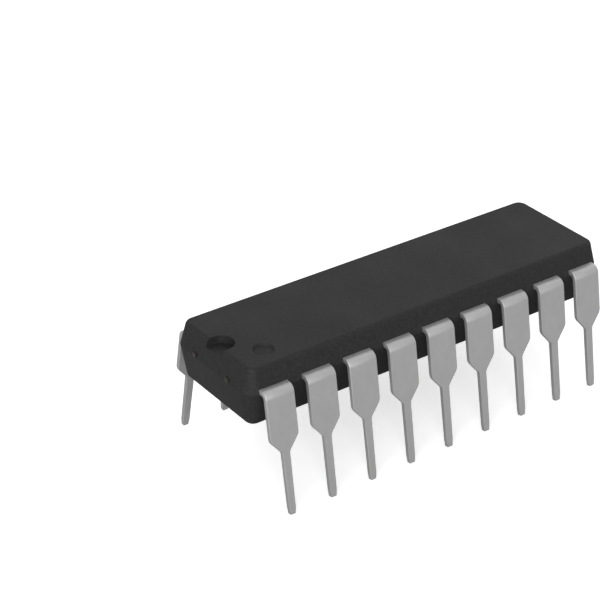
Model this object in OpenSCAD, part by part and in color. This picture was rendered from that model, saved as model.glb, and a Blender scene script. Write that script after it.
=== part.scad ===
// Plastic dual in-line package with nine leads a side, standing on its lead tips.
// Millimetres, +Z up. The origin is under the middle of the body, at the lead tips.
// The end with the index notch points along -X, and lead 1 is its front left lead.

/* [Lead frame] */
// Thickness of the lead frame sheet
sheet_t = 0.25; // [0.2:0.01:0.32]
// Distance between neighbouring leads in a row
lead_pitch = 2.54; // [2.4:0.01:2.7]
// Height of the top of the lead frame above the lead tips
frame_top_z = 6.78; // [6.2:0.01:7.2]
// Width of a lead where it leaves the body
wide_w = 1.68; // [1.3:0.01:1.8]
// Flat stretch of a lead between the body and its bend
shoulder_l = 0.10; // [0.06:0.01:0.4]
// Inside radius of the bend
bend_r = 0.2; // [0.12:0.01:0.3]
// Lean of the legs away from the vertical, in degrees
splay = 10.2; // [0:0.1:14]

/* [Legs] */
// Height above the tips where a leg reaches its narrow width
taper_foot_z = 3.44; // [3.1:0.01:3.7]
// Height of the stretch over which a leg narrows
taper_h = 0.75; // [0.6:0.01:0.9]
// Width of the narrow part below the taper
narrow_w = 0.44; // [0.36:0.01:0.56]
// Radius of the corners where the taper starts
taper_top_r = 0.5; // [0.1:0.05:0.7]
// Radius of the corners where the taper ends
taper_foot_r = 0.3; // [0.1:0.05:0.5]
// Width of the narrow part just above its tip
shank_w = 0.4; // [0.34:0.01:0.44]
// Width of the tip's end
tip_w = 0.31; // [0.2:0.01:0.33]
// Length of the bevels beside the tip
tip_l = 0.4; // [0.1:0.05:0.6]

/* [Body] */
// Distance from an end lead's middle to the end of the body at the parting plane
end_margin = 1.5; // [1.3:0.01:1.8]
// Width of the body at the parting plane
body_w = 6.64; // [6.3:0.01:7]
// Height of the body above the parting plane
upper_h = 1.31; // [1.15:0.01:1.5]
// Height of the body below the parting plane
lower_h = 1.99; // [1.6:0.01:2.1]
// How far the walls draw in between the parting plane and the top
upper_inset = 0.33; // [0.1:0.01:0.4]
// How far the walls draw in between the parting plane and the underside
lower_inset = 0.35; // [0.1:0.01:0.38]
// Radius of the upright corners at the parting plane
corner_r = 0.82; // [0.75:0.01:0.95]
// Radius of the edge round the top
top_edge_r = 0.24; // [0.08:0.01:0.3]
// Radius of the edge round the underside
bottom_edge_r = 0.32; // [0.1:0.01:0.36]

/* [Marks in the moulding] */
// Radius of the index notch
notch_r = 0.69; // [0.5:0.01:0.9]
// Distance of the notch's centre from the edge of the top
notch_in = 0.34; // [0.1:0.01:0.5]
// Depth of the index notch
notch_depth = 0.45; // [0.15:0.01:0.55]
// Radius of the round mark beside lead 1
dot_r = 0.56; // [0.4:0.01:0.8]
// Depth of the round mark
dot_depth = 0.12; // [0.04:0.01:0.2]
// How far the wall of the round mark slopes in on its way down
dot_slope = 0.1; // [0.02:0.01:0.2]
// Distance of the round mark from the end edge of the top
dot_from_end = 1.7; // [1.4:0.01:2.2]
// Distance of the round mark from the long edge of the top
dot_from_side = 1.31; // [1.1:0.01:1.5]
// Width of the broken gate at the plain end
gate_w = 1.4; // [0.8:0.1:2]
// Height of the broken gate
gate_h = 0.36; // [0.2:0.01:0.5]
// Distance of the broken gate below the parting plane
gate_drop = 0.05; // [0.03:0.01:0.1]

/* [Inner fingers] */
// Share of the body's half width that the wide root of a lead takes
root_share = 0.27; // [0.22:0.01:0.3]
// Diameter of the hole that locks each root into the moulding
lock_hole_d = 0.5; // [0.3:0.01:0.6]
// Width of an inner finger
finger_w = 0.34; // [0.26:0.01:0.36]
// Clear gap between the ends of the fingers and the die pad
finger_gap = 0.22; // [0.2:0.01:0.25]
// Spacing of the finger tips along the side of the die pad
tip_pitch = 1.12; // [1:0.01:1.2]

/* [Die pad and die] */
// Length of the die pad
pad_l = 5.2; // [5:0.1:5.4]
// Share of the body's width that the die pad takes
pad_share = 0.38; // [0.36:0.01:0.4]
// How far the die pad lies below the lead frame
pad_drop = 0.2; // [0.15:0.01:0.25]
// Length of the sloped stretch that carries the drop
slope_l = 0.4; // [0.3:0.01:0.5]
// Width of the tie bars that hold the die pad
tie_w = 0.3; // [0.24:0.01:0.32]
// Length of the two arms that each tie bar forks into
arm_l = 1.1; // [0.8:0.01:1.2]
// Distance between the middles of the two arms, as a share of the body's width
arm_share = 0.43; // [0.3:0.01:0.46]
// How far the sheared ends of the arms stand out of the body's ends
stub_proud = 0.03; // [0.02:0.01:0.1]
// Thickness of the cement under the die
cement_t = 0.03; // [0.02:0.01:0.05]
// How far the cement spreads past the die
cement_spread = 0.12; // [0.08:0.01:0.2]
// Bare stretch of the pad past each end of the die
die_end_margin = 1; // [0.8:0.05:1.2]
// Bare stretch of the pad past each side of the die
die_side_margin = 0.35; // [0.25:0.01:0.4]
// Thickness of the silicon die
die_t = 0.36; // [0.3:0.01:0.4]

/* [Bond wires] */
// Diameter of the bond wire
wire_d = 0.04; // [0.03:0.005:0.05]
// Diameter of the squashed ball on the die
ball_d = 0.1; // [0.08:0.01:0.12]
// Height of the squashed ball
ball_h = 0.04; // [0.03:0.01:0.05]
// Rise of a wire's loop above the straight line between its ends
loop_rise = 0.34; // [0.25:0.01:0.4]
// Distance of the balls from the edge of the die
ball_in = 0.14; // [0.1:0.01:0.2]
// Spacing of the balls along the sides of the die
ball_pitch = 0.62; // [0.5:0.01:0.68]
// Spacing of the balls across the ends of the die
ball_pitch_end = 0.3; // [0.2:0.01:0.34]
// Distance of a wire's landing from the end of its finger
landing_in = 0.2; // [0.14:0.01:0.3]

/* [Hidden] */
$fn = 48;
row_n = 9;
lead_n = 2 * row_n;
mid_k = (row_n - 1) / 2;
over = 0.2;

frame_z = frame_top_z - sheet_t;
top_z = frame_z + upper_h;
bottom_z = frame_z - lower_h;
body_l = (row_n - 1) * lead_pitch + 2 * end_margin;
half_l = body_l / 2;
half_w = body_w / 2;
top_l = half_l - upper_inset;
top_w = half_w - upper_inset;

bend_start = half_w + shoulder_l;
bend_turn = 90 - splay;
bend_z = frame_z - bend_r;
leg_l = (bend_z + bend_r * sin(splay)) / cos(splay);

root_l = root_share * half_w;
root_y = half_w - root_l;
taper_top_z = taper_foot_z + taper_h;
pad_w = pad_share * body_w;
lane_pitch = (pad_w - tie_w) / 4;
arm_spread = arm_share * body_w;
die_l = pad_l - 2 * die_end_margin;
die_w = pad_w - 2 * die_side_margin;
pad_top_z = frame_top_z - pad_drop;
die_z = pad_top_z + cement_t;
die_top_z = die_z + die_t;

function two_digits(n) = n < 10 ? str("0", n) : str(n);
function lead_name(n) = str("lead_", two_digits(n));
function wire_name(n) = str("bond_wire_", two_digits(n));

// Moulded body: two drafted halves that meet at the parting plane

// Upright section of one half's wall, from the axis of the corner outwards
module wall_section(h, inset, edge_r) {
    draft = atan(inset / h);
    edge_x = corner_r - (h - edge_r) * tan(draft) - edge_r / cos(draft);
    edge_y = h - edge_r;
    union() {
        polygon([
            [0, 0],
            [corner_r, 0],
            [edge_x + edge_r * cos(draft), edge_y + edge_r * sin(draft)],
            [edge_x, h],
            [0, h]
        ]);
        translate([edge_x, edge_y]) intersection() {
            circle(edge_r);
            square(edge_r);
        }
    }
}

// One straight wall of the given length, its section facing +X
module straight_wall(length, h, inset, edge_r) {
    rotate([90, 0, 0]) linear_extrude(height = length, center = true) wall_section(h, inset, edge_r);
}

// One half of the body, standing on the parting plane
module body_half(h, inset, edge_r) {
    core_x = half_l - corner_r;
    core_y = half_w - corner_r;
    union() {
        translate([-core_x, -core_y, 0]) cube([2 * core_x, 2 * core_y, h]);
        for (side = [0, 180]) rotate([0, 0, side]) {
            translate([core_x, 0, 0]) straight_wall(2 * core_y, h, inset, edge_r);
            translate([0, core_y, 0]) rotate([0, 0, 90]) straight_wall(2 * core_x, h, inset, edge_r);
            translate([core_x, core_y, 0]) rotate_extrude(angle = 90) wall_section(h, inset, edge_r);
            translate([-core_x, core_y, 0]) rotate([0, 0, 90])
                rotate_extrude(angle = 90) wall_section(h, inset, edge_r);
        }
    }
}

// Stub of resin left where the mould's gate broke off at the plain end
module broken_gate() {
    translate([half_l - corner_r, -gate_w / 2, frame_z - gate_drop - gate_h])
        cube([corner_r, gate_w, gate_h]);
}

// Half-round notch that marks the end with lead 1, open to the end face
module index_notch() {
    translate([-top_l + notch_in, 0, top_z - notch_depth]) {
        cylinder(r = notch_r, h = notch_depth + over);
        translate([-notch_in - upper_inset - over, -notch_r, 0])
            cube([notch_in + upper_inset + over, 2 * notch_r, notch_depth + over]);
    }
}

// Shallow round mark beside lead 1: its wall slopes in down to a flat floor
module lead_one_mark() {
    translate([-top_l + dot_from_end, -top_w + dot_from_side, top_z - dot_depth]) union() {
        cylinder(r1 = dot_r - dot_slope, r2 = dot_r, h = dot_depth);
        translate([0, 0, dot_depth / 2]) cylinder(r = dot_r - dot_slope, h = dot_depth / 2 + over);
    }
}

module moulded_body() {
    color("#3b3b3d") difference() {
        union() {
            translate([0, 0, frame_z]) body_half(upper_h, upper_inset, top_edge_r);
            translate([0, 0, frame_z]) mirror([0, 0, 1]) body_half(lower_h, lower_inset, bottom_edge_r);
            broken_gate();
        }
        index_notch();
        lead_one_mark();
        die_pad();
        die_cement();
        silicon_die();
        for (turn = [0, 180]) rotate([0, 0, turn]) for (k = [0:row_n - 1]) {
            lead_flat(k);
            front_wire(k);
        }
    }
}

// Leads: each is blanked from the sheet as one piece, then bent down at its shoulder

// Outline of a strip of even width along a route, with mitred corners
function unit(v) = v / norm(v);
function left_of(v) = [-v[1], v[0]];
function mitre(a, b, c, off) =
    let (p = left_of(unit(b - a)), q = left_of(unit(c - b)))
    b + off * (p + q) / (1 + p * q);
function strip_side(route, off) = [
    for (i = [0:len(route) - 1])
        i == 0 ? route[0] + off * left_of(unit(route[1] - route[0]))
        : i == len(route) - 1 ? route[i] + off * left_of(unit(route[i] - route[i - 1]))
        : mitre(route[i - 1], route[i], route[i + 1], off)
];
function turned(list) = [for (i = [len(list) - 1:-1:0]) list[i]];
module strip(route, w) {
    polygon(concat(strip_side(route, w / 2), turned(strip_side(route, -w / 2))));
}

// Place along the row of the lead with index k, counted from -X
function lead_x(k) = (k - mid_k) * lead_pitch;

// Route of an inner finger. The two outer leads at each end of a row run along lanes to the end
// of the die pad, with the outer lane in line with the pad's edge. The others slant to its side.
function lane_y(k) = finger_w / 2 - tie_w / 2 - (k + 1) * lane_pitch;
function tip_at(k) = k < 2
    ? [-pad_l / 2 - finger_gap, lane_y(k)]
    : [(k - mid_k) * tip_pitch, -pad_w / 2 - finger_gap];
function finger_route(k) = k < 2
    ? [
        [lead_x(k), -root_y - over],
        [lead_x(k), -root_y + over],
        [lead_x(k) + root_y - over + lane_y(k), lane_y(k)],
        tip_at(k)
    ]
    : [[lead_x(k), -root_y - over], [lead_x(k), -root_y + over], tip_at(k)];

// Flat part of a lead of the front row: shoulder, root with its lock hole, and finger
module flat_outline(k) {
    difference() {
        union() {
            translate([lead_x(k) - wide_w / 2, -bend_start]) square([wide_w, bend_start - root_y]);
            if (k <= mid_k) strip(finger_route(k), finger_w);
            else mirror([1, 0]) strip(finger_route(row_n - 1 - k), finger_w);
        }
        translate([lead_x(k), -root_y - root_l / 2]) circle(d = lock_hole_d);
    }
}

// Area under the sheet's surface that turns about the bend at radius r, seen along the row:
// outwards to the right, with the leg's far end cut square. It reaches further by past.
module area_under(r, past) {
    centre = [bend_start, bend_z];
    down = [sin(splay), -cos(splay)];
    out = [cos(splay), sin(splay)];
    union() {
        polygon([
            [half_w - past, bend_z - past],
            [half_w - past, bend_z + r],
            [bend_start, bend_z + r],
            centre + r * out,
            centre + r * out + (leg_l + past) * down,
            centre - past * out + (leg_l + past) * down,
            [bend_start - past, bend_z - past]
        ]);
        intersection() {
            translate(centre) circle(r);
            polygon([centre, centre + [0, 2 * r], centre + [2 * r, 2 * r], centre + 2 * r * out]);
        }
    }
}

// Waste that is punched out on the right of a leg, drawn flat with the leg's tip at y = 0
module punched_waste() {
    top = [wide_w / 2, (taper_top_z - sheet_t * sin(splay)) / cos(splay)];
    foot = [narrow_w / 2, (taper_foot_z - sheet_t * sin(splay)) / cos(splay)];
    along = unit(foot - top);
    turn = acos(-along[1]);
    top_tangent = taper_top_r * tan(turn / 2);
    foot_tangent = taper_foot_r * tan(turn / 2);
    difference() {
        union() {
            polygon([
                [tip_w / 2, -over],
                [tip_w / 2, 0],
                [shank_w / 2, tip_l],
                [narrow_w / 2, foot[1] - foot_tangent],
                foot - foot_tangent * along,
                top + top_tangent * along,
                [wide_w / 2, top[1] + top_tangent],
                [wide_w / 2 + over, top[1] + top_tangent],
                [wide_w / 2 + over, -over]
            ]);
            translate([narrow_w / 2 + taper_foot_r, foot[1] - foot_tangent]) circle(taper_foot_r);
        }
        translate([wide_w / 2 - taper_top_r, top[1] + top_tangent]) circle(taper_top_r);
    }
}

// The part of a lead that stays flat, most of it inside the body
module lead_flat(k) {
    translate([0, 0, frame_z]) linear_extrude(height = sheet_t) flat_outline(k);
}

// Bend and leg of one lead of the front row, with the waste punched out on both sides
module lead_leg(k) {
    translate([lead_x(k), 0, 0]) difference() {
        rotate([90, 0, -90]) linear_extrude(height = wide_w, center = true) difference() {
            area_under(bend_r + sheet_t, 0);
            area_under(bend_r, over);
        }
        translate([0, -bend_start, bend_z]) rotate([-splay, 0, 0]) translate([0, over - bend_r, -leg_l])
            rotate([90, 0, 0]) linear_extrude(height = sheet_t + 2 * over)
                for (side = [0, 1]) mirror([side, 0]) punched_waste();
    }
}

// One lead of the front row
module front_lead(k) {
    union() {
        lead_flat(k);
        lead_leg(k);
    }
}

module lead(n) {
    color("#c9c9c7")
        if (n <= row_n) front_lead(n - 1);
        else rotate([0, 0, 180]) front_lead(n - 1 - row_n);
}

// Die pad with a tie bar at each end. A bar steps up from the pad to the level of the leads and
// forks into two arms, which were sheared off at the end of the body.
module tie_bar() {
    pad_end = pad_l / 2;
    bar_end = half_l - arm_l;
    translate([0, tie_w / 2, 0]) rotate([90, 0, 0]) linear_extrude(height = tie_w) polygon([
        [pad_end - over, pad_top_z - sheet_t], [pad_end, pad_top_z - sheet_t],
        [pad_end + slope_l, frame_z], [bar_end, frame_z],
        [bar_end, frame_top_z], [pad_end + slope_l, frame_top_z],
        [pad_end, pad_top_z], [pad_end - over, pad_top_z]
    ]);
    translate([0, 0, frame_z]) linear_extrude(height = sheet_t) {
        translate([bar_end - tie_w, -arm_spread / 2]) square([tie_w, arm_spread]);
        for (side = [-1, 1]) translate([bar_end - tie_w, (side * arm_spread - tie_w) / 2])
            square([tie_w + arm_l + stub_proud, tie_w]);
    }
}

module die_pad() {
    color("#b98a5e") union() {
        translate([-pad_l / 2, -pad_w / 2, pad_top_z - sheet_t]) cube([pad_l, pad_w, sheet_t]);
        for (side = [0, 180]) rotate([0, 0, side]) tie_bar();
    }
}

// Cement that holds the die to its pad
module die_cement() {
    cement_l = die_l + 2 * cement_spread;
    cement_w = die_w + 2 * cement_spread;
    color("#a8a8a0") translate([-cement_l / 2, -cement_w / 2, pad_top_z])
        cube([cement_l, cement_w, cement_t]);
}

module silicon_die() {
    color("#4a4f5c") translate([-die_l / 2, -die_w / 2, die_z]) cube([die_l, die_w, die_t]);
}

// Bond wires: a ball on the die, a loop over its edge, and a stitch on the finger

// Places of a wire's ball and landing for a lead of the front row, left half
function ball_at(k) = k < 2
    ? [-die_l / 2 + ball_in, -ball_pitch_end * (k + 0.5)]
    : [(k - mid_k) * ball_pitch, -die_w / 2 + ball_in];
function landing_at(k) =
    let (route = finger_route(k), last = len(route) - 1)
    tip_at(k) - landing_in * unit(route[last] - route[last - 1]);

// A wire drawn along +X from its ball: one arc that comes down at the given reach and drop
module looped_wire(reach, drop) {
    fall = drop + ball_h / 2;
    chord = norm([reach, fall]);
    slope = atan2(fall, reach);
    arc_r = chord * chord / (8 * loop_rise) + loop_rise / 2;
    half_turn = asin(chord / 2 / arc_r);
    run_on = 2 * asin(wire_d / arc_r);
    centre_x = reach / 2 - (arc_r - loop_rise) * sin(slope);
    centre_z = ball_h / 2 - fall / 2 - (arc_r - loop_rise) * cos(slope);
    cylinder(d = ball_d, h = ball_h);
    difference() {
        translate([centre_x, 0, centre_z]) rotate([90, 0, 0])
            rotate_extrude(angle = 2 * half_turn + run_on, start = 90 - slope - half_turn - run_on)
                translate([arc_r, 0]) circle(d = wire_d);
        translate([-over, -over, -over]) cube([2 * over, 2 * over, over]);
        translate([reach - over, -over, -drop - over]) cube([2 * over, 2 * over, over]);
    }
}

module front_wire(k) {
    left_k = k <= mid_k ? k : row_n - 1 - k;
    ball = ball_at(left_k);
    way = landing_at(left_k) - ball;
    mirror([k <= mid_k ? 0 : 1, 0, 0]) translate([ball[0], ball[1], die_top_z])
        rotate([0, 0, atan2(way[1], way[0])]) looped_wire(norm(way), die_top_z - frame_top_z);
}

module bond_wire(n) {
    color("#e0b64a")
        if (n <= row_n) front_wire(n - 1);
        else rotate([0, 0, 180]) front_wire(n - 1 - row_n);
}

moulded_body();
die_pad();
die_cement();
silicon_die();
for (n = [1:lead_n]) {
    lead(n);
    bond_wire(n);
}
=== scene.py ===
# %% [markdown]
# # A plastic chip package with two rows of leads
#
# The object is a black epoxy block, 23 mm long, with a row of flat tinned leads down each side.
# The solids come from the CAD part, already at their real size. This script gives every one of
# them its finish, rounds the stamped edges of the leads, and sets the camera and the light.

import math

import bmesh
import bpy
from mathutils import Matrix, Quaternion, Vector


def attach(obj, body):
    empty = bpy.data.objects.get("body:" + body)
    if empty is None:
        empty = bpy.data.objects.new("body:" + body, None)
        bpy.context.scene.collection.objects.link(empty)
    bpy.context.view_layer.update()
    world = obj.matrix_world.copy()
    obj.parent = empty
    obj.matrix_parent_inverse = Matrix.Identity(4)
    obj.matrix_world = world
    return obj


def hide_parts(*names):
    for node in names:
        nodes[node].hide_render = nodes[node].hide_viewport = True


MM = 0.001

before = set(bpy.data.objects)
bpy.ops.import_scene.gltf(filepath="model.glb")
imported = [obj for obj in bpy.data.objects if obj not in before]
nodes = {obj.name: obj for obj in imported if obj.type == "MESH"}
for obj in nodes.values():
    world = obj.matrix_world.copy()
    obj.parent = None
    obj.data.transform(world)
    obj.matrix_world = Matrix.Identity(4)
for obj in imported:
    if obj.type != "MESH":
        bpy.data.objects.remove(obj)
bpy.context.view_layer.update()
leads = [nodes[name] for name in sorted(nodes) if name.startswith("lead_")]
wires = [nodes[name] for name in sorted(nodes) if name.startswith("bond_wire_")]
body = nodes["moulded_body"]
print("loaded", len(nodes), "solids:", len(leads), "leads and", len(wires), "wires")

# %% [markdown]
# ## The camera
#
# The photograph looks down on the notched end from the left, from quite near: the farthest lead is
# 15 percent smaller than the nearest. The place of the camera was worked out from the lead tips,
# which stand at a known spacing, and from the edges of the leads. It is written as a direction, a
# distance and a point to look at.

# %% Camera
PHOTO_WIDTH_MM = 36.0
LENS_MM = 114.85
AZIMUTH = math.radians(-36.323)
ELEVATION = math.radians(30.345)
ROLL = math.radians(0.492)
DISTANCE = 96.38 * MM
LOOK_AT = Vector((-6.197, 0.0, 8.654)) * MM
NEAREST_SEEN = 1 * MM
FARTHEST_SEEN = 5.0

back = Vector((
    math.sin(AZIMUTH) * math.cos(ELEVATION),
    -math.cos(AZIMUTH) * math.cos(ELEVATION),
    math.sin(ELEVATION),
))
camera = bpy.data.objects.new("camera", bpy.data.cameras.new("camera"))
bpy.context.scene.collection.objects.link(camera)
camera.data.sensor_width = PHOTO_WIDTH_MM
camera.data.lens = LENS_MM
camera.data.clip_start = NEAREST_SEEN
camera.data.clip_end = FARTHEST_SEEN
camera.location = LOOK_AT + back * DISTANCE
camera.rotation_mode = "QUATERNION"
camera.rotation_quaternion = (-back).to_track_quat("-Z", "Y") @ Quaternion((0, 0, 1), ROLL)
bpy.context.scene.camera = camera
print("camera at", [round(value / MM, 2) for value in camera.location], "mm")

# %% [markdown]
# ## Helpers for materials
#
# Colours are written as hex codes, the way a paint chart or an image editor gives them, and one
# function turns them to the linear values that light is added up in. A second function adds one
# shader node with its settings and its links, so that each finish below reads as a short recipe.


# %% Colour and node helpers
def linear(code):
    channels = [int(code[i:i + 2], 16) / 255 for i in (1, 3, 5)]
    curve = [c / 12.92 if c <= 0.04045 else ((c + 0.055) / 1.055) ** 2.4 for c in channels]
    return (*curve, 1.0)


def add(tree, kind, links=None, values=None, **settings):
    node = tree.nodes.new(kind)
    for name, value in settings.items():
        setattr(node, name, value)
    for socket, source in (links or {}).items():
        tree.links.new(source, node.inputs[socket])
    for socket, value in (values or {}).items():
        node.inputs[socket].default_value = value
    return node


def per_metre(size_mm):
    return 1.0 / (size_mm * MM)


def new_material(name):
    material = bpy.data.materials.new(name)
    material.use_nodes = True
    tree = material.node_tree
    tree.nodes.clear()
    return material, tree


def finish_with(tree, links, values):
    shader = add(tree, "ShaderNodeBsdfPrincipled", links, values)
    add(tree, "ShaderNodeOutputMaterial", {"Surface": shader.outputs["BSDF"]})


print("a mid grey of #808080 is", round(linear("#808080")[0], 3), "in linear light")

# %% [markdown]
# ## Moulding compound
#
# The block is epoxy filled with crushed silica and carbon black, pressed into a spark-eroded mould.
# The mould leaves a fine, even pitting with no gloss, and the filler shows as a faint grey speckle.
# A plain dark colour would look like rubber, so the pitting is a bump and the speckle is a mix of
# two near blacks. The dullness varies slowly, over a few millimetres, the way the resin flowed. The
# real grain is about 0.03 mm. It is drawn at 0.08 mm, because a pixel of the picture covers 0.05 mm.

# %% Moulded epoxy
GRAIN_MM = 0.08
PIT_DEPTH_MM = 0.01
SPECKLE_MM = 0.16
FLOW_MM = 3.5
EPOXY_BLACK = "#202021"
SPECKLE_BLACK = "#2b2b2c"
EPOXY_ROUGHNESS = (0.56, 0.66)


def moulded_epoxy():
    material, tree = new_material("moulded_epoxy")
    place = add(tree, "ShaderNodeTexCoord").outputs["Object"]
    grain = add(tree, "ShaderNodeTexNoise", {"Vector": place},
                {"Scale": per_metre(GRAIN_MM), "Detail": 3.0, "Roughness": 0.6})
    speckle = add(tree, "ShaderNodeTexNoise", {"Vector": place},
                  {"Scale": per_metre(SPECKLE_MM), "Detail": 2.0, "Roughness": 0.7})
    flow = add(tree, "ShaderNodeTexNoise", {"Vector": place},
               {"Scale": per_metre(FLOW_MM), "Detail": 3.0, "Roughness": 0.5})
    speckle_amount = add(tree, "ShaderNodeMapRange", {"Value": speckle.outputs["Fac"]},
                         {"From Min": 0.35, "From Max": 0.75})
    colour = add(tree, "ShaderNodeMix", {"Factor": speckle_amount.outputs["Result"]},
                 {"A": linear(EPOXY_BLACK), "B": linear(SPECKLE_BLACK)}, data_type="RGBA")
    smoothest, roughest = EPOXY_ROUGHNESS
    dullness = add(tree, "ShaderNodeMapRange", {"Value": flow.outputs["Fac"]},
                   {"From Min": 0.3, "From Max": 0.7, "To Min": smoothest, "To Max": roughest})
    pitting = add(tree, "ShaderNodeBump", {"Height": grain.outputs["Fac"]},
                  {"Strength": 0.4, "Distance": PIT_DEPTH_MM * MM})
    finish_with(tree, {
        "Base Color": colour.outputs["Result"],
        "Roughness": dullness.outputs["Result"],
        "Normal": pitting.outputs["Normal"],
    }, {"IOR": 1.5, "Specular IOR Level": 0.22})
    return material


epoxy = moulded_epoxy()
print("epoxy grain drawn at", GRAIN_MM, "mm, speckle at", SPECKLE_MM, "mm")

# %% [markdown]
# ## Tin plating
#
# The leads are stamped from rolled copper alloy and plated with matte tin. The rolling leaves fine
# lines that run the length of each lead, and the tin over them is soft and grey: bright, but with
# no sharp mirror image. The lines are a noise stretched along the height, and a second, cloudy
# noise dulls the plating in patches, as handling does.

# %% Matte tin
ROLLING_LINE_MM = 0.06
ROLLING_DEPTH_MM = 0.004
ROLLING_STRETCH = 0.04
HANDLING_MM = 0.9
TIN_GREY = "#c6c6c6"
TARNISHED_GREY = "#bfbfbf"
TIN_ROUGHNESS = (0.54, 0.6)


def matte_tin():
    material, tree = new_material("matte_tin")
    place = add(tree, "ShaderNodeTexCoord").outputs["Object"]
    stretch = add(tree, "ShaderNodeMapping", {"Vector": place},
                  {"Scale": (1.0, 1.0, ROLLING_STRETCH)})
    lines = add(tree, "ShaderNodeTexNoise", {"Vector": stretch.outputs["Vector"]},
                {"Scale": per_metre(ROLLING_LINE_MM), "Detail": 2.0, "Roughness": 0.5})
    clouds = add(tree, "ShaderNodeTexNoise", {"Vector": place},
                 {"Scale": per_metre(HANDLING_MM), "Detail": 4.0, "Roughness": 0.6})
    tarnish = add(tree, "ShaderNodeMapRange", {"Value": clouds.outputs["Fac"]},
                  {"From Min": 0.3, "From Max": 0.75})
    colour = add(tree, "ShaderNodeMix", {"Factor": tarnish.outputs["Result"]},
                 {"A": linear(TIN_GREY), "B": linear(TARNISHED_GREY)}, data_type="RGBA")
    smoothest, roughest = TIN_ROUGHNESS
    dullness = add(tree, "ShaderNodeMapRange", {"Value": clouds.outputs["Fac"]},
                   {"From Min": 0.3, "From Max": 0.75, "To Min": smoothest, "To Max": roughest})
    rolling = add(tree, "ShaderNodeBump", {"Height": lines.outputs["Fac"]},
                  {"Strength": 0.25, "Distance": ROLLING_DEPTH_MM * MM})
    finish_with(tree, {
        "Base Color": colour.outputs["Result"],
        "Roughness": dullness.outputs["Result"],
        "Normal": rolling.outputs["Normal"],
    }, {"Metallic": 1.0})
    return material


tin = matte_tin()
print("rolling lines drawn at", ROLLING_LINE_MM, "mm")

# %% [markdown]
# ## What is sealed inside
#
# None of this shows once the block is moulded, but each piece still gets the finish that it has on
# the bench: a copper alloy pad, grey silver-filled cement, a polished silicon die and gold wires.
# The pad matters a little, because the sheared ends of its tie bars show in the end faces.

# %% Bare copper alloy, cement, silicon and gold
SHEAR_MM = 0.05
SILVER_FLAKE_MM = 0.02
POLISHING_MM = 0.5
DRAWING_MM = 0.05
RELIEF_MM = 0.005
METAL = {"Metallic": 1.0}


def plain_finish(name, dark, light, size_mm, roughness, values):
    material, tree = new_material(name)
    place = add(tree, "ShaderNodeTexCoord").outputs["Object"]
    pattern = add(tree, "ShaderNodeTexNoise", {"Vector": place},
                  {"Scale": per_metre(size_mm), "Detail": 3.0, "Roughness": 0.6})
    colour = add(tree, "ShaderNodeMix", {"Factor": pattern.outputs["Fac"]},
                 {"A": linear(dark), "B": linear(light)}, data_type="RGBA")
    relief = add(tree, "ShaderNodeBump", {"Height": pattern.outputs["Fac"]},
                 {"Strength": 0.3, "Distance": RELIEF_MM * MM})
    finish_with(tree, {"Base Color": colour.outputs["Result"], "Normal": relief.outputs["Normal"]},
                {"Roughness": roughness, **values})
    return material


sheared_alloy = plain_finish("sheared_copper_alloy", "#4c4a48", "#5e5b58", SHEAR_MM,
                             roughness=0.5, values=METAL)
silver_cement = plain_finish("silver_filled_cement", "#8c8c88", "#b0b0aa", SILVER_FLAKE_MM,
                             roughness=0.6, values={"IOR": 1.5})
silicon = plain_finish("polished_silicon", "#3c4048", "#4a4f5a", POLISHING_MM,
                       roughness=0.15, values={"IOR": 3.4})
gold = plain_finish("drawn_gold", "#e0b24c", "#f0c868", DRAWING_MM,
                    roughness=0.25, values=METAL)
print("four more finishes:", sheared_alloy.name, silver_cement.name, silicon.name, gold.name)

# %% [markdown]
# ## Rounded edges on the leads
#
# A punch rolls the edge of a lead over by a few hundredths of a millimetre, and that roll catches
# the light as a thin line. The solid has sharp edges, so each lead gets a copy of its own mesh with
# a small bevel on every sharp edge. A bevel works on whole faces, so the triangles that lie in one
# plane are joined first. The shading follows the wide faces, so that they stay flat and only the
# bevels look round. The copy stands for the solid and stays exactly where it is.

# %% Bevelled copies of the leads
EDGE_ROLL = 0.03 * MM
WELD_DISTANCE = 0.0001 * MM
FLAT_ANGLE = math.radians(1)
SHARP_ANGLE = math.radians(35)
WIDE_FACE_WEIGHT = 100


def with_rolled_edges(node):
    mesh = bmesh.new()
    mesh.from_mesh(node.data)
    bmesh.ops.remove_doubles(mesh, verts=mesh.verts, dist=WELD_DISTANCE)
    bmesh.ops.dissolve_limit(mesh, angle_limit=FLAT_ANGLE, verts=mesh.verts, edges=mesh.edges)
    sharp = [edge for edge in mesh.edges if edge.calc_face_angle(0) > SHARP_ANGLE]
    bmesh.ops.bevel(mesh, geom=sharp, offset=EDGE_ROLL, segments=2, profile=0.5,
                    affect="EDGES", clamp_overlap=True)
    for face in mesh.faces:
        face.smooth = True
    data = bpy.data.meshes.new(node.name + "_rolled")
    mesh.to_mesh(data)
    mesh.free()
    piece = bpy.data.objects.new(node.name + "_rolled", data)
    bpy.context.scene.collection.objects.link(piece)
    even = piece.modifiers.new("even_faces", "WEIGHTED_NORMAL")
    even.weight = WIDE_FACE_WEIGHT
    data.materials.append(tin)
    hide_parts(node.name)
    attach(piece, "root")
    return piece


rolled_leads = [with_rolled_edges(lead) for lead in leads]
print(len(rolled_leads), "leads with rolled edges,",
      sum(len(lead.data.polygons) for lead in rolled_leads), "faces in all")

# %% [markdown]
# ## Finishes on the solids
#
# The other solids have the right shape already, so they keep it and only take their material. The
# lead solids are tinned too, although their copies stand for them.


# %% Give each solid its material
def coat(node, material):
    node.data.materials.clear()
    node.data.materials.append(material)


coat(body, epoxy)
coat(nodes["die_pad"], sheared_alloy)
coat(nodes["die_cement"], silver_cement)
coat(nodes["silicon_die"], silicon)
for wire in wires:
    coat(wire, gold)
for lead in leads:
    coat(lead, tin)
print("every solid has its finish")

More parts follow.
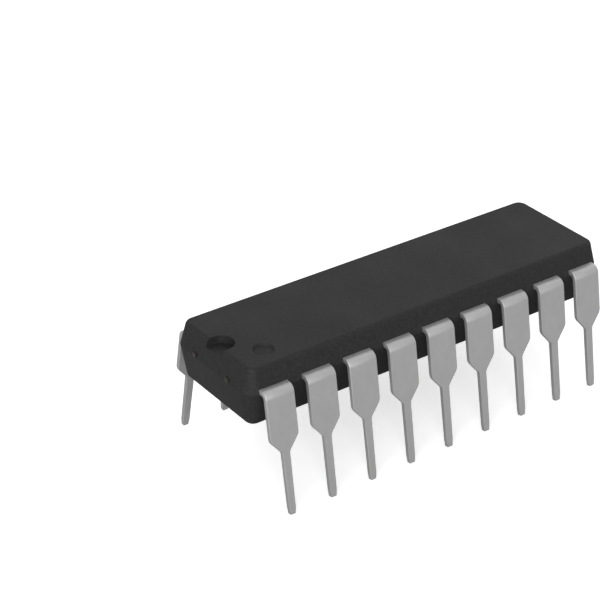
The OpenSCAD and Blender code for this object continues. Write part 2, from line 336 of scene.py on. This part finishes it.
# %% [markdown]
# ## Floor
#
# The photograph has a burnt-out white ground with hardly any shadow, yet little of that white shines
# back up: the walls between the leads stay almost black. One sheet can't do both, so there are two,
# one just under the other. The camera sees the white one, which glows a little like a light table.
# The grey one below it is hidden from the camera, and only sends light back to the part. Neither
# sheet blocks light, or the white one would shade the grey one.

# %% Floor
FLOOR_SIZE = 3.0
FLOOR_STEP = 0.02 * MM
LIGHT_TABLE_GLOW = 0.42


def floor_sheet(name, tone, glow, height):
    material, tree = new_material(name)
    finish_with(tree, None, {
        "Base Color": linear(tone),
        "Roughness": 0.9,
        "Specular IOR Level": 0.1,
        "Emission Color": linear("#ffffff"),
        "Emission Strength": glow,
    })
    half = FLOOR_SIZE / 2
    mesh = bpy.data.meshes.new(name)
    mesh.from_pydata([(-half, -half, 0), (half, -half, 0), (half, half, 0), (-half, half, 0)],
                     [], [(0, 1, 2, 3)])
    mesh.materials.append(material)
    sheet = bpy.data.objects.new(name, mesh)
    sheet.location.z = height
    sheet.visible_shadow = False
    bpy.context.scene.collection.objects.link(sheet)
    return sheet


seen_floor = floor_sheet("white_board", "#fafafa", LIGHT_TABLE_GLOW, 0.0)
seen_floor.visible_diffuse = False
seen_floor.visible_glossy = False
bounce_floor = floor_sheet("grey_board", "#b4b4b4", 0.0, -FLOOR_STEP)
bounce_floor.visible_camera = False
print("two floor sheets", FLOOR_SIZE, "m across,", seen_floor.name, "over", bounce_floor.name)

# %% [markdown]
# ## Light
#
# The lead faces are one even grey, and the bends over them hardly brighter, so what they mirror is a
# pale room with a darker ceiling and no small lamp. The wall of the notch that faces the near end is
# its darkest place, so the softbox overhead stands behind the block. The end of the block is lighter
# than its long side, so the second one stands low on the left and lights both. Places and sides are
# in metres. The room fades from its walls to its ceiling by the height of the direction, where 0 is
# level and 1 is straight up.

# %% Softboxes
OVERHEAD_PLACE = (0.26, 0.16, 0.52)
OVERHEAD_SIDE = 0.8
OVERHEAD_WATTS = 1.3
FILL_PLACE = (-0.44, -0.42, 0.28)
FILL_SIDE = 0.5
FILL_WATTS = 3.8


def softbox(name, side, power, place):
    lamp = bpy.data.objects.new(name, bpy.data.lights.new(name, "AREA"))
    lamp.data.shape = "SQUARE"
    lamp.data.size = side
    lamp.data.energy = power
    lamp.location = place
    lamp.rotation_mode = "QUATERNION"
    lamp.rotation_quaternion = (LOOK_AT - Vector(place)).to_track_quat("-Z", "Y")
    bpy.context.scene.collection.objects.link(lamp)


softbox("overhead", OVERHEAD_SIDE, OVERHEAD_WATTS, OVERHEAD_PLACE)
softbox("side_fill", FILL_SIDE, FILL_WATTS, FILL_PLACE)
print("softboxes of", OVERHEAD_WATTS, "and", FILL_WATTS, "W")

# %% Pale room with a darker ceiling
ROOM_LIGHT = 0.85
CEILING_LIGHT = 0.3
WALLS_END = 0.2
CEILING_START = 0.9

world = bpy.data.worlds.new("pale_room")
world.use_nodes = True
world.node_tree.nodes.clear()
direction = add(world.node_tree, "ShaderNodeTexCoord").outputs["Generated"]
height = add(world.node_tree, "ShaderNodeSeparateXYZ", {"Vector": direction}).outputs["Z"]
walls_to_ceiling = add(world.node_tree, "ShaderNodeMapRange", {"Value": height},
                       {"From Min": WALLS_END, "From Max": CEILING_START,
                        "To Min": ROOM_LIGHT, "To Max": CEILING_LIGHT})
room = add(world.node_tree, "ShaderNodeBackground",
           {"Strength": walls_to_ceiling.outputs["Result"]}, {"Color": linear("#ffffff")})
add(world.node_tree, "ShaderNodeOutputWorld", {"Surface": room.outputs["Background"]})
bpy.context.scene.world = world
bpy.context.scene.view_settings.view_transform = "Standard"
print("room", ROOM_LIGHT, "and ceiling", CEILING_LIGHT)
